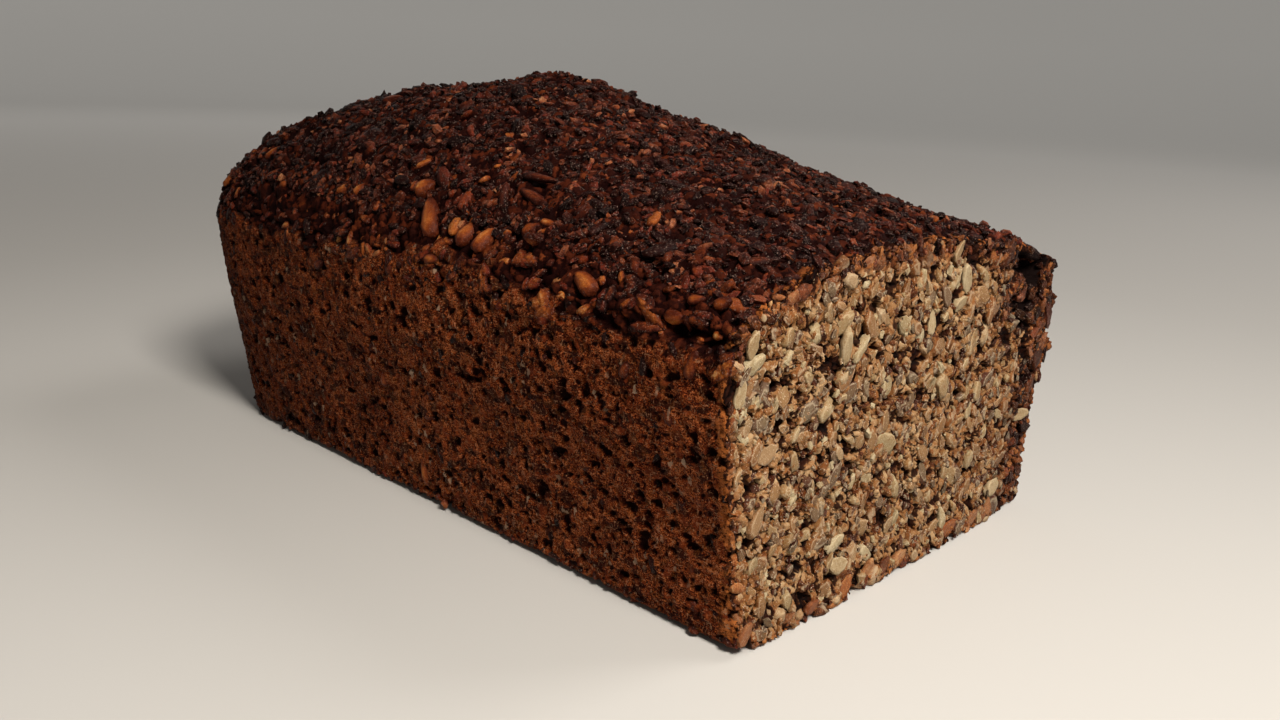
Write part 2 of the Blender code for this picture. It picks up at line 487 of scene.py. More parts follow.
def wedge(name, axis, place, across, up, material):
    """The side of the box at that place on the axis, closed by a fan to the middle.

    across and up are the stations of the two other axes.
    """
    first, second = [k for k in range(3) if k != axis]
    grid = np.full((len(up), len(across), 3), float(place))
    grid[..., first] = across
    grid[..., second] = up[:, None]
    points, values = finished(grid.reshape(-1, 3))
    index = np.arange(len(points)).reshape(len(up), len(across))
    quads = [index[:-1, :-1], index[:-1, 1:], index[1:, 1:], index[1:, :-1]]
    quads = np.stack(quads, axis=-1).reshape(-1, 4)
    rim = np.concatenate([index[0, :-1], index[:-1, -1], index[-1, :0:-1], index[:0:-1, 0]])
    fan = np.stack([np.roll(rim, -1), rim, np.full(len(rim), len(points))], axis=1)
    # The grid's own turn is along the axis for X and Z, and against it for Y.
    if (place > MIDDLE[axis]) == (axis == 1):
        quads, fan = quads[:, ::-1], fan[:, ::-1]
    points = np.concatenate([points, MIDDLE[None]])
    values = {key: np.append(value, 1) for key, value in values.items()}
    mesh = mesh_from(name, points, [quads, fan], [True, False], values)
    return piece_from(name, mesh, material)


# %% [markdown]
# ## Writing materials as expressions
#
# A node tree is easier to read as arithmetic. One small class holds a socket
# and turns operators into Math nodes, and one function makes any other node.


# %% The class for shader maths
def maths(operation, swapped=False):
    """An operator's method: a Math node on both operands, or on them swapped."""

    def method(self, other):
        first, second = (other, self) if swapped else (self, other)
        return add_node("Math", {"operation": operation}, _0=first, _1=second)

    return method


class Value:
    """A socket in the tree that is being built. Arithmetic on it adds Math nodes."""

    tree = None
    __add__ = maths("ADD")
    __radd__ = maths("ADD", True)
    __sub__ = maths("SUBTRACT")
    __rsub__ = maths("SUBTRACT", True)
    __mul__ = maths("MULTIPLY")
    __rmul__ = maths("MULTIPLY", True)

    def __init__(self, socket):
        self.socket = socket

    def above(self, low, high):
        """0 below low and 1 above high, smooth between."""
        settings = {"interpolation_type": "SMOOTHSTEP"}
        sockets = {"Value": self, "From Min": low, "From Max": high}
        return add_node("MapRange", settings, **sockets)


def add_node(kind, settings=None, output=0, **sockets):
    """A shader node, with its settings and its sockets, by name or as _0, _1 by number."""
    node = Value.tree.nodes.new("ShaderNode" + kind)
    for key, setting in (settings or {}).items():
        if key == "stops":
            elements = node.color_ramp.elements
            while len(elements) < len(setting):
                elements.new(1)
            for element, (place, *colour) in zip(elements, setting):
                element.position = place
                element.color = (*colour, 1)
        else:
            setattr(node, key, setting)
    for key, value in sockets.items():
        socket = node.inputs[int(key[1:]) if key.startswith("_") else key]
        if isinstance(value, Value):
            Value.tree.links.new(value.socket, socket)
        else:
            socket.default_value = value
    return Value(node.outputs[output])


def new_material(name):
    """A material with an empty tree, into which the next nodes go."""
    material = bpy.data.materials.new(name)
    material.use_nodes = True
    Value.tree = material.node_tree
    Value.tree.nodes.clear()
    return material


def attribute(name):
    """A number that the mesh carries at each point."""
    return add_node("Attribute", {"attribute_name": name}, 2)


def place_of(size, stretch=(1, 1, 1)):
    """The piece's own coordinates, in steps of size millimetres."""
    scale = tuple(1 / (size * MM * s) for s in stretch)
    return add_node("Mapping", Vector=add_node("TexCoord", None, 3), Scale=scale)


def place_along():
    """How far along the loaf the place is."""
    return add_node("SeparateXYZ", Vector=add_node("TexCoord", None, 3))


def noise(size, detail=2, roughness=0.6, stretch=(1, 1, 1)):
    """Noise from 0 to 1 whose features are about size millimetres wide."""
    place = place_of(size, stretch)
    return add_node("TexNoise", Vector=place, Scale=1, Detail=detail, Roughness=roughness)


def cells(size, stretch=(1, 1, 1)):
    """A random colour for each crooked cell about size millimetres wide."""
    place = place_of(size, stretch)
    shift = add_node("TexNoise", None, 1, Vector=place, Scale=1.6, Detail=3)
    settings = {"operation": "MULTIPLY_ADD"}
    crooked = add_node("VectorMath", settings, _0=shift, _1=(0.7, 0.7, 0.7), _2=place)
    return add_node("TexVoronoi", None, 1, Vector=crooked, Scale=1)


def ramp(value, *stops):
    """A colour that depends on a number. A stop is a place and a colour."""
    return add_node("ValToRGB", {"stops": stops}, Fac=value)


def blend(share, first, second):
    """The first colour, turning into the second as share goes to 1."""
    return add_node("Mix", {"data_type": "RGBA"}, 2, _0=share, _6=first, _7=second)


def painted(colour, *layers):
    """The colour under layers of paint, each a share and three numbers for its colour."""
    for share, *paint in layers:
        colour = blend(share, colour, (*paint, 1))
    return colour


def finish_material(material, colour, roughness, height=None, depth=0, gloss=0.25, glow=None):
    """A Principled shader with that colour, roughness and bump, and an output."""
    sockets = {"Base Color": colour, "Roughness": roughness, "Specular IOR Level": gloss}
    if glow is not None:
        sockets |= {"Emission Color": glow, "Emission Strength": 1}
    if height is not None:
        sockets["Normal"] = add_node("Bump", Height=height, Distance=depth)
    shader = add_node("BsdfPrincipled", **sockets)
    output = Value.tree.nodes.new("ShaderNodeOutputMaterial")
    Value.tree.links.new(shader.socket, output.inputs["Surface"])
    return material


# %% [markdown]
# ## The skin and the crumb
#
# Rye crust browns to a deep red brown. Little light comes out of pits and gaps,
# and flour leaves pale flecks on the walls. Layers of colour over a ramp give
# all of that without any picture.


# %% The skin
def painted_end_shade(colour):
    """The colour, darkened towards the baked end: painted shade where the light falls off."""
    share = 1 - place_along().above(END_X - 20 * MM, 30 * MM)
    settings = {"data_type": "RGBA", "blend_type": "MULTIPLY"}
    return add_node("Mix", settings, 2, _0=share, _6=colour, _7=(0.58, 0.52, 0.5, 1))


# Bran, red crust, ochre and chalk lie on the walls. Pale upright and level strokes
# are painted highlights, and pits are darkest: painted shade.
material = new_material("baked_skin")
opened = attribute("opened")
flecks = noise(0.6, 3, 0.8, (1.7, 1.7, 0.8))
fine = noise(0.3, 2, 0.7)
shade = (flecks - 0.5) * 1.2 + (fine - 0.5)
# Pits, grooves and gaps are painted near black: painted shade.
hollow = (attribute("hollow") + shade).above(0.46, 0.64)
wall = ramp(
    noise(7, 3) * 0.3 + flecks * 0.7 + (fine - 0.5) * 0.95,
    (0.37, 0.009, 0.0008, 0.0002), (0.46, 0.047, 0.0054, 0.001),
    (0.53, 0.132, 0.0215, 0.004), (0.61, 0.258, 0.061, 0.013),
    (0.76, 0.43, 0.165, 0.068),
)
bran = cells(2.5, (1.3, 1.3, 0.8)).above(0.67, 0.71)
red = cells(1.7).above(0.74, 0.78)
ochre = noise(2.4).above(0.54, 0.62) * fine.above(0.4, 0.62)
chalk = cells(1, (1, 1, 1.7)).above(0.86, 0.88) * noise(22, 1).above(0.44, 0.58)
# Thin pale strokes: painted highlights.
upright = noise(0.33, 1, 0.5, (1, 1, 5)).above(0.64, 0.69)
level = noise(0.33, 1, 0.5, (5, 1, 1)).above(0.64, 0.69)
wall = painted(
    wall,
    (bran * 0.88, 0.015, 0.002, 0.0007),
    (red * 0.5, 0.16, 0.026, 0.006),
    (ochre * 0.35, 0.225, 0.07, 0.014),
    (chalk * 0.6, 0.34, 0.24, 0.16),
    ((upright + level) * 0.55, 0.31, 0.15, 0.076),
)
crust = ramp(
    attribute("number") * 0.7 + flecks * 0.3,
    (0.15, 0.005, 0.0005, 0.0002), (0.45, 0.02, 0.0032, 0.0014),
    (0.7, 0.07, 0.0125, 0.004), (0.9, 0.18, 0.042, 0.009),
)
edge = place_along().above(CUT_X - 4.5 * MM, CUT_X - MM)
edge = edge * noise(3).above(0.36, 0.52) * flecks.above(0.38, 0.52)
colour = painted(
    blend(opened, wall, crust),
    (edge * 0.9, 0.38, 0.115, 0.027),
    (hollow * 0.97, 0.0065, 0.0004, 0.0001),
)
height = noise(0.4, 3, 0.75)
# The skin is darkened towards the baked end: painted shade.
skin = finish_material(material, painted_end_shade(colour), 0.65, height, 0.32 * MM, 0.04)

# %% The crumb: pale, toasted near the crust, painted shade in holes, painted glints
material = new_material("cut_crumb")
number = attribute("number")
flecks = noise(0.8, 3, 0.7)
fine = (noise(0.32, 2, 0.7) - 0.5) * 0.5
raw = ramp(
    number * 0.7 + flecks * 0.3 + fine,
    (0.12, 0.026, 0.006, 0.003), (0.3, 0.098, 0.03, 0.011),
    (0.47, 0.24, 0.104, 0.035), (0.8, 0.39, 0.25, 0.128),
)
toast = ramp(
    number * 0.6 + flecks * 0.4 + fine,
    (0.2, 0.03, 0.008, 0.004), (0.5, 0.17, 0.05, 0.014),
    (0.8, 0.33, 0.13, 0.04),
)
wander = (noise(5) - 0.5) * 6
toasted = 1 - (attribute("depth") + wander).above(3, 7.5)
# Hollow places are painted dark and deep ones nearly black: painted shade.
hollow = (attribute("hollow") + (flecks - 0.5) * 0.8).above(0.62, 0.86)
deep_shade = (attribute("hollow") + (flecks - 0.5) * 0.5).above(1.02, 1.3)
colour = painted(
    blend(toasted, raw, toast),
    # Pale specks: painted glints.
    (noise(0.35, 1).above(0.64, 0.72) * 0.5, 0.62, 0.5, 0.36),
    (hollow * 0.97, 0.015, 0.0026, 0.0004),
    (deep_shade * 0.9, 0.002, 0.0002, 0.0001),
)
height = noise(0.5, 3, 0.7)
crumb = finish_material(material, colour, 0.75, height, 0.25 * MM, 0.08)

# %% The six wedges
long = even(END_X, CUT_X, 0.6)
wide = even(-SIDE_Y, SIDE_Y, 0.6)
tall = even(0, BOX_TOP, 0.48)
front_wall = wedge("front_wall", 1, -SIDE_Y, even(END_X, CUT_X, 0.52), tall, skin)
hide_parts("loaf")
wedge("back_wall", 1, SIDE_Y, long, tall, skin)
wedge("baked_end", 0, END_X, wide, tall, skin)
wedge("risen_top", 2, BOX_TOP, long, wide, skin)
wedge("base", 2, 0, long[::2], wide[::2], skin)
wide = even(-SIDE_Y, SIDE_Y, 0.36)
wedge("cut_face", 0, CUT_X, wide, even(0, BOX_TOP, 0.33), crumb)

# %% [markdown]
# ## Seeds and flakes
#
# The baker rolled the dough in seeds and coarse meal. Each kind is one mesh: a
# template of a few faces, copied by array arithmetic to thousands of places,
# each copy with its own size, turn and dents.


# %% Templates
def ring_faces(index):
    """Faces between neighbouring rings of point numbers, each ring closed on itself."""
    after = np.roll(index, -1, axis=1)
    return np.stack([index[:-1], index[1:], after[1:], after[:-1]], axis=-1).reshape(-1, 4)


def template(rings, spokes, point):
    """An egg of unit half-sizes along X, closed at both ends.

    Its radius is the sine to the power 0.85, narrowed towards +X by point.
    """
    along = np.cos(np.pi * (np.arange(rings) + 1) / (rings + 1))
    radius = np.sqrt(1 - along**2) ** 0.85 * (1 - point * (along + 1) / 2)
    turn = 2 * np.pi * np.arange(spokes) / spokes
    body = np.empty((rings, spokes, 3))
    body[..., 0] = along[:, None]
    body[..., 1] = radius[:, None] * np.cos(turn)
    body[..., 2] = radius[:, None] * np.sin(turn)
    points = np.concatenate([body.reshape(-1, 3), [(1, 0, 0), (-1, 0, 0)]])
    index = np.arange(rings * spokes).reshape(rings, spokes)
    after = np.roll(index, -1, axis=1)
    tip = np.full(spokes, rings * spokes)
    caps = np.hstack([(tip, index[0], after[0]), (tip + 1, after[-1], index[-1])]).T
    return points, caps, ring_faces(index)


FLAKE = template(2, 5, 0.2)
SEED = template(3, 7, 0.35)
KERNEL = template(4, 8, 0.35)
FINE_KERNEL = template(6, 10, 0.35)
for shape in (FLAKE, SEED, KERNEL, FINE_KERNEL):
    print("a template has", len(shape[0]), "points")


# %% Places on the loaf
def on_side(axis, place, pairs):
    """Box points on one side, with those pairs as their two other coordinates."""
    box = np.full((len(pairs), 3), float(place))
    box[:, [k for k in range(3) if k != axis]] = pairs
    return box


def spread(rng, axis, place, low, high, spacing):
    """Box points over part of a side, one at random in each square of a net."""
    low, high = np.array(low), np.array(high)
    count = np.maximum(1, np.round((high - low) / (spacing * MM))).astype(int)
    squares = np.stack(np.meshgrid(*map(np.arange, count), indexing="ij"), axis=-1)
    share = (squares.reshape(-1, 2) + rng.uniform(0.05, 0.95, (count.prod(), 2))) / count
    return on_side(axis, place, low + share * (high - low))


def frames(box, axis, surface=None):
    """The box points' places on the finished or another surface, and three directions.

    Tangent and side are differences of the smooth loaf over a small step, and the
    normal is their cross product, turned outwards.
    """
    steps = [step for k, step in enumerate(np.eye(3) * MM) if k != axis]
    tangent, side = [loaf(box + step)[0] - loaf(box - step)[0] for step in steps]
    tangent /= np.linalg.norm(tangent, axis=1)[:, None]
    normal = np.cross(tangent, side)
    normal /= np.linalg.norm(normal, axis=1)[:, None]
    normal *= np.sign(normal[:, axis] * (box - MIDDLE)[:, axis])[:, None]
    return (surface or finished)(box)[0], tangent, np.cross(normal, tangent), normal


def on_knife(place):
    """Frames in the knife's plane for the given places."""
    axes = [np.tile(axis, (len(place), 1)) for axis in ((0, 1, 0), (0, 0, 1), (1, 0, 0))]
    return place, *axes


def clear_of(points, spots, radius):
    """Whether each point is further than its radius from every spot."""
    return (np.linalg.norm(points[:, None] - spots, axis=2) > radius).all(axis=1)


def cut_frames(rng, box, behind, room):
    """Frames up to behind back from the knife's plane, and how far each is toasted.

    None is in a hole, or within room of a hollow or a placed kernel.
    """
    rim, reach, on_cut = outline(box)
    points, _, height = loaf(rim)
    place, depth = drawn_in(points, reach, on_cut, height)
    keep = (crumb_relief(place)[1] < 0.85) & clear_of(place, cut_spots, cut_room + room)
    place, depth = place[keep], depth[keep]
    place[:, 0] -= rng.uniform(0, behind, len(place))
    return on_knife(place), 1 - ease((depth - 3.5) / 4)


# %% Copies of a template
def turned_pair(first, second, angle):
    """Two directions, turned together by an angle in their plane."""
    c, s = np.cos(angle)[:, None], np.sin(angle)[:, None]
    return c * first + s * second, c * second - s * first


def scatter(name, shape, rng, where, sizes, turns, sink, dents, tint, toast, facets=0, cut=0):
    """One mesh of copies of a template: each is dented, sized, turned and seated.

    turns holds spin, tilt and roll, and sink is the middle's depth over the half
    thickness. What is in the knife's way is cut flat, on a plane that leans a
    little: shaved is a half at the flat's edge, 1 inside. lift is 0 at a copy's
    root, where the material paints shade.
    """
    unit, triangles, quads = shape
    place, tangent, side, normal = where
    count = len(place)
    long, wide = turned_pair(tangent, side, turns[0])
    long, high = turned_pair(long, normal, turns[1])
    wide, high = turned_pair(wide, high, turns[2])
    half = sizes / 2
    copies = unit * (1 + dents * rng.uniform(-1, 1, (count, len(unit), 1))) * half[:, None]
    points = (place - normal * (sink * half[:, 2])[:, None])[:, None]
    points = points + copies[..., :1] * long[:, None]
    points += copies[..., 1:2] * wide[:, None] + copies[..., 2:] * high[:, None]
    points[..., 2] = np.maximum(points[..., 2], 0.05 * MM)
    lean = rng.normal(0, 0.13, (count, 1, 2))
    level = CUT_X + foot(place) + 0.25 * MM * rng.uniform(-1, 1, count)
    plane = level[:, None] + ((points - place[:, None])[..., 1:] * lean).sum(axis=2)
    over = points[..., 0] - plane
    points[..., 0] -= np.maximum(over, 0)
    rise = ((points - place[:, None]) * normal[:, None]).sum(axis=2) / half[:, 2:]
    starts = (np.arange(count) * len(unit))[:, None, None]
    faces = [(part + starts).reshape(-1, part.shape[1]) for part in (triangles, quads)]
    values = {
        "kind": np.repeat(rng.uniform(0, 1, count), len(unit)),
        "tint": np.repeat(tint, len(unit)),
        "toast": np.repeat(toast, len(unit)),
        "lift": ease((rise + 0.9 * cut) / 0.45 + 0.25).ravel(),
        "shaved": np.clip(over / (0.8 * MM) + 0.5, 0, 1).ravel(),
        "along": np.tile(unit[:, 0], count),
        "across": np.tile(unit[:, 1], count),
        "rough": np.full(count * len(unit), min(1, 0.15 + 4 * dents)),
    }
    mesh = mesh_from(name, points.reshape(-1, 3), faces, [not facets] * 2, values)
    return piece_from(name, mesh, cut_seeds if cut else baked_seeds)


# %% [markdown]
# ## Colours of the seeds
#
# In the oven a kernel goes from cream through gold and orange to nearly black.
# Each copy carries its tint, from dark to pale, and how far it was toasted, so
# two materials serve all copies. Lengthwise streaks come from stretched noise.


# %% Seeds, raw and toasted
def seed_material(name, gloss):
    """Raw and baked colours by tint, with streaks, cut rims and dark film.

    Painted shade darkens each root and the baked end, pale specks are painted
    glints, and the meal's colour carries a painted grey sheen.
    """
    material = new_material(name)
    tint = attribute("tint")
    rough = attribute("rough")
    toast = attribute("toast")
    kind = attribute("kind")
    lane = attribute("across") * 2.6 + tint * 57
    reach = attribute("along") * 0.5 + tint * 31
    spot = add_node("CombineXYZ", X=lane, Y=reach)
    streak = add_node("TexNoise", Vector=spot, Scale=1.6, Detail=2)
    grain = rough * 0.3
    # Each copy darkens towards its root: painted shade where it meets what it lies on.
    root_shade = (1 - attribute("lift")) * (0.18 + toast * 0.18)
    tone = tint + (streak - 0.5) * 0.28 + (noise(1.1) - 0.5) * (0.15 + grain)
    tone = tone + (noise(0.33, 2, 0.7) - 0.5) * (0.25 + grain) - root_shade
    raw = ramp(
        tone,
        (0, 0.026, 0.005, 0.002), (0.2, 0.082, 0.02, 0.005),
        (0.36, 0.172, 0.056, 0.014), (0.55, 0.248, 0.12, 0.042),
        (0.78, 0.306, 0.216, 0.11), (1, 0.44, 0.36, 0.225),
    )
    baked = ramp(
        tone,
        (0, 0.0035, 0.0003, 0.0001), (0.25, 0.0125, 0.0018, 0.0009),
        (0.5, 0.058, 0.0098, 0.0036), (0.72, 0.165, 0.034, 0.007),
        (0.88, 0.31, 0.085, 0.015), (1, 0.46, 0.23, 0.08),
    )
    # The meal's colour, with green and blue raised as a painted grey sheen.
    meal_and_sheen = ramp(
        tone,
        (0, 0.003, 0.0002, 0.0001), (0.25, 0.0105, 0.0013, 0.0007),
        (0.5, 0.062, 0.0125, 0.0058), (0.72, 0.165, 0.043, 0.0175),
        (0.88, 0.285, 0.095, 0.037), (1, 0.43, 0.22, 0.1),
    )
    baked = blend(rough.above(0.88, 1), baked, meal_and_sheen)
    odd = kind.above(0.74, 0.78) * rough.above(0.4, 0.7)
    dark = (1 - kind).above(0.8, 0.84)
    raw = painted(raw, (odd * 0.6, 0.23, 0.086, 0.024), (dark * 0.85, 0.066, 0.024, 0.015))
    baked = painted(baked, (odd * tone.above(0.2, 0.5) * 0.6, 0.115, 0.014, 0.0055))
    shaved = attribute("shaved") * (1 - toast)
    rim = shaved.above(0.2, 0.5) - shaved.above(0.5, 0.8)
    film = noise(1.7, 3, 0.7).above(0.47, 0.6) * toast * rough
    film = film * (1 - tint.above(0.55, 0.85) * 0.7)
    colour = painted(
        blend(toast, raw, baked),
        (shaved.above(0.6, 1) * 0.35, 0.225, 0.168, 0.088),
        (rim * 0.38, 0.56, 0.46, 0.3),
        (film * 0.85, 0.011, 0.0016, 0.0007),
    )
    # Pale specks, mostly on rough pieces: painted glints.
    painted_glints = blend(toast, (0.72, 0.62, 0.47, 1), (0.34, 0.23, 0.18, 1))
    colour = blend(noise(0.34, 1).above(0.62, 0.7) * rough * 0.5, colour, painted_glints)
    height = noise(0.45, 3, 0.75) * rough
    return finish_material(material, painted_end_shade(colour), 0.4, height, 0.34 * MM, gloss)


baked_seeds = seed_material("baked_seeds", 0.06)
cut_seeds = seed_material("cut_seeds", 0.07)


# %% Random sizes, turns, depths and tints
def sow(name, shape, rng, where, size, turns, sink, dents, tint, paler=0, toast=1, grown=1, **way):
    """Random copies. size is three sizes in millimetres and how much they vary.

    turns is the spin, its spread, and that of tilt and roll. sink is the least and
    the most, and so is toast if it is a pair. tint is an array, or a beta law's two
    numbers and its scale, to which paler is added.
    """
    count = len(where[0])
    *usual, vary = size
    scale = np.exp(rng.normal(0, vary, (count, 1)))
    each = np.exp(rng.normal(0, 0.12, (count, 3)))
    sizes = np.array(usual) * MM * scale * each * grown
    spins = turns[0] + turns[1] * rng.uniform(-1, 1, count)
    angles = np.stack([spins, *rng.normal(0, turns[2], (2, count))])
    depths = rng.uniform(*sink, count)
    if type(tint) is tuple:
        tint = np.clip(rng.beta(*tint[:2], count) * tint[2] + paler, 0, 1)
    toast = rng.uniform(*toast, count) if type(toast) is tuple else np.full(count, toast)
    scatter(name, shape, rng, where, sizes, angles, depths, dents, tint, toast, **way)


# %% [markdown]
# A few kernels catch the eye. They are listed one by one, and other seeds keep clear
# of them. A row is the place, the length and width in millimetres, the spin in
# degrees, and the tint. The place is the share along the loaf from the baked end
# and the share across the top or the height on a wall, or, in the cut, Y and the
# height, in millimetres.

# %% Kernels placed one by one
TOP_ROWS = np.array((
    (0.536, 0.01, 13.4, 7, 128, 0.86), (0.609, 0, 8.6, 6, 92, 0.86),
    (0.641, -0.004, 8.8, 6, 100, 0.91), (0.497, 0.074, 6.2, 6.8, 40, 0.9),
    (0.482, 0.07, 3.2, 2.2, 90, 0.82), (0.695, 0.05, 5.4, 4.8, 40, 0.76),
    (0.711, 0.072, 5, 2.8, 0, 0.88), (0.717, 0.052, 2.8, 2.4, 30, 0.84),
    (0.664, 0.113, 11, 3.8, 170, 0.64), (0.648, 0.153, 12, 3.2, 5, 0.6),
    (0.386, 0.037, 4.4, 3.8, 60, 0.94), (0.136, 0.099, 6.5, 4.2, 60, 0.92),
    (0.22, 0.32, 9, 4.6, 10, 0.78), (0.419, 0.418, 7, 5.4, 20, 0.46),
    (0.45, 0.46, 6, 5, 120, 0.36), (0.48, 0.5, 7, 5.6, 60, 0.5),
    (0.6, 0.48, 6, 5, 0, 0.42), (0.876, 0.69, 8, 5.6, 90, 0.24),
    (0.984, 0.94, 9, 6, 70, 0.34), (0.982, 0.88, 6, 4.4, 20, 0.44),
))
LIP_ROWS = np.array((
    (0.804, 72.6, 8.8, 5.4, 155, 0.87), (0.576, 69.6, 5.4, 3.2, 5, 0.84),
    (0.923, 69.6, 5.4, 4.2, 10, 0.84), (0.971, 68.5, 2.8, 2.4, 0, 0.96),
    (0.937, 74.3, 4, 3, 20, 0.76), (0.963, 75, 4.6, 3.6, 40, 0.7),
))
LUMP_ROWS = np.array((
    (0.714, 75, 10.5, 8, 10, 0.76), (0.901, 67.6, 14, 6, -43, 0.76),
    (0.768, 64.6, 9.6, 8.6, 0, 0.82), (0.989, 63.9, 6.5, 4.6, 60, 0.84),
    (0.86, 73.5, 6, 4.6, 30, 0.5), (0.84, 71, 5.4, 4.4, 70, 0.46),
    (0.885, 74.5, 6.4, 4.4, 0, 0.54), (0.74, 70.5, 6, 4, 60, 0.78),
    (0.672, 68.5, 6.5, 4, 120, 0.76), (0.955, 71.5, 6, 4.4, 0, 0.58),
    (0.56, 70, 5.5, 4, 30, 0.7), (0.5, 72, 6, 4.4, 150, 0.64),
    (0.4, 71.5, 6.5, 4.2, 20, 0.66),
))
WALL_ROWS = np.array((
    (0.459, 32, 5, 4.4, 80, 0.78), (0.517, 8.4, 8.6, 4.4, 98, 0.9),
    (0.875, 57, 4.5, 3.6, 60, 0.7), (0.93, 50, 5, 4, 100, 0.66),
    (0.35, 60, 5, 3.6, 30, 0.64), (0.955, 62, 7, 4.2, 75, 0.76),
))
BACK_ROWS = np.array((
    (0.986, 58.5, 8, 5.6, 90, 0.74), (0.982, 66, 5, 3.8, 80, 0.84),
    (0.986, 45.4, 7, 5, 60, 0.8), (0.99, 37, 6, 4.6, 80, 0.72),
    (0.984, 71, 5, 4, 30, 0.6), (0.99, 27, 5, 4, 20, 0.66),
    (0.99, 16, 6, 4.4, 90, 0.72),
))
CUT_ROWS = np.array((
    (-68.3, 58, 6.6, 3.6, 80, 0.84), (-65.3, 67.5, 5.6, 3.8, 75, 0.76),
    (19.6, 71, 8.4, 5.4, 115, 0.94), (18.3, 65, 7, 4.2, 10, 0.88),
    (9.5, 68, 6.5, 4, 130, 0.82), (4.4, 62, 6.5, 3.6, 85, 0.9),
    (-32, 62, 9, 4.8, 100, 0.85), (-57.8, 43, 6, 4.4, 20, 0.9),
    (13.7, 78.5, 5.5, 3.6, 60, 0.74), (61.5, 27, 8, 4.2, 0, 0.82),
    (-60, 28.5, 7, 4.6, 60, 0.78), (-28.3, 9, 6, 5, 0, 0.84),
    (47.7, 8.6, 7.2, 5.2, 20, 0.9), (-63.6, 4.6, 5.6, 4.6, 60, 0.9),
    (-40.2, 3.2, 5, 3.4, 15, 0.74), (-27, 3.6, 5.8, 4.4, 60, 0.84),
    (-17.1, 4.4, 6.2, 4.8, 70, 0.86), (-10, 3.6, 5, 4.2, 40, 0.4),
    (-2.7, 3.6, 6.6, 4.6, 10, 0.88), (21.5, 4.2, 6.8, 5, 20, 0.8),
    (34.8, 3.6, 5.4, 4, 30, 0.76), (44.3, 3.8, 5.4, 3.8, 80, 0.78),
))


def place_kernels(name, rows, where, sink, toast=1, dents=0.07, cut=0):
    """A piece of well-shaped kernels, one for each row."""
    count = len(rows)
    rng = default_rng(17)
    sizes = np.stack([rows[:, 2], rows[:, 3], rows[:, 3] * 0.8], axis=1) * MM
    turns = np.stack([np.radians(rows[:, 4]), np.full(count, 0.06), np.zeros(count)])
    toast = np.full(count, toast)
    shape = template(9, 14, 0.42)
    scatter(name, shape, rng, where, sizes, turns, sink, dents, rows[:, 5], toast, 0, cut)


def clustered(rows, count):
    """count smaller rows strewn over each row's ellipse: a torn lump."""
    rng = default_rng(23)
    rows = np.repeat(rows, count, axis=0)
    turn = rng.uniform(0, 2 * np.pi, len(rows))
    share = 0.36 * np.sqrt(rng.uniform(0, 1, len(rows)))
    first = share * np.cos(turn) * rows[:, 2]
    second = share * np.sin(turn) * rows[:, 3]
    spin = np.radians(rows[:, 4])
    rows[:, 0] += (first * np.cos(spin) - second * np.sin(spin)) * MM / BASE_LENGTH
    rows[:, 1] += first * np.sin(spin) + second * np.cos(spin)
    rows[:, 2:4] *= rng.uniform(0.4, 0.65, (len(rows), 1))
    rows[:, 4] += rng.uniform(-50, 50, len(rows))
    rows[:, 5] += rng.uniform(-0.16, 0.08, len(rows))
    return rows


def on_front(rows):
    """Box points on the front side, at the rows' shares along and heights."""
    return on_side(1, -SIDE_Y, (END_X, 0) + rows[:, :2] * (BASE_LENGTH, MM))


# Most lie on the smooth loaf, so that no dip of the crust hides them.
top_pairs = (END_X, -SIDE_Y) + TOP_ROWS[:, :2] * (BASE_LENGTH, BASE_WIDTH)
top_spots = on_side(2, BOX_TOP, top_pairs)
place_kernels("top_kernels", TOP_ROWS, frames(top_spots, 2, loaf), 0.5)
for name, rows, sink, dents in (
    ("lip_kernels", LIP_ROWS, 0.45, 0.07),
    ("lip_lumps", clustered(LUMP_ROWS, 6), 0.4, 0.18),
    ("wall_kernels", WALL_ROWS, 0.5, 0.07),
):
    place_kernels(name, rows, frames(on_front(rows), 1, loaf), sink, dents=dents)
rows = clustered(BACK_ROWS, 5)
where = frames(on_front(rows) * (1, -1, 1), 1)
place_kernels("back_lumps", rows, where, 0.2, dents=0.18)

cut_spots = on_side(0, CUT_X, CUT_ROWS[:, :2] * MM)
cut_spots[:, 0] += foot(cut_spots)
toast = np.where(CUT_ROWS[:, 1] < 6, 0.75, 0.12)
place_kernels("cut_large_kernels", CUT_ROWS, on_knife(cut_spots), 0.2, toast, 0.13, 1)

# %% Room around those kernels and the hollows
wall_rows = np.concatenate([LIP_ROWS, LUMP_ROWS, WALL_ROWS])
skin_spots = np.concatenate([top_spots, on_front(wall_rows)])
skin_room = np.append(0.38 * TOP_ROWS[:, 2], 0.36 * wall_rows[:, 2]) * MM
cut_spots = np.concatenate([cut_spots, on_side(0, CUT_X, HOLLOWS[:, :2] * MM)])
cut_room = np.append(0.3 * CUT_ROWS[:, 2], HOLLOWS[:, 2]) * MM

# %% Meal on the top
ANY_WAY = (0, np.pi, 0.4)
top_low, top_high = (END_X, -SIDE_Y), (CUT_X - MM, SIDE_Y)


def top_places(seed, spacing, reach, low=top_low, high=top_high):
    """Box points on the top clear of placed kernels, and tints, paler at the edges
    and, as painted light, towards the back.
    """
    rng = default_rng(seed)
    box = spread(rng, 2, BOX_TOP, low, high, spacing)
    box = box[clear_of(box, skin_spots, skin_room + reach * MM)]
    edge = ease((np.abs(box[:, 1]) / SIDE_Y - 0.65) / 0.35)
    return box, 0.9 * rng.beta(1.35, 2, len(box)) + (0.08 * edge + 0.06 * back_share(box))


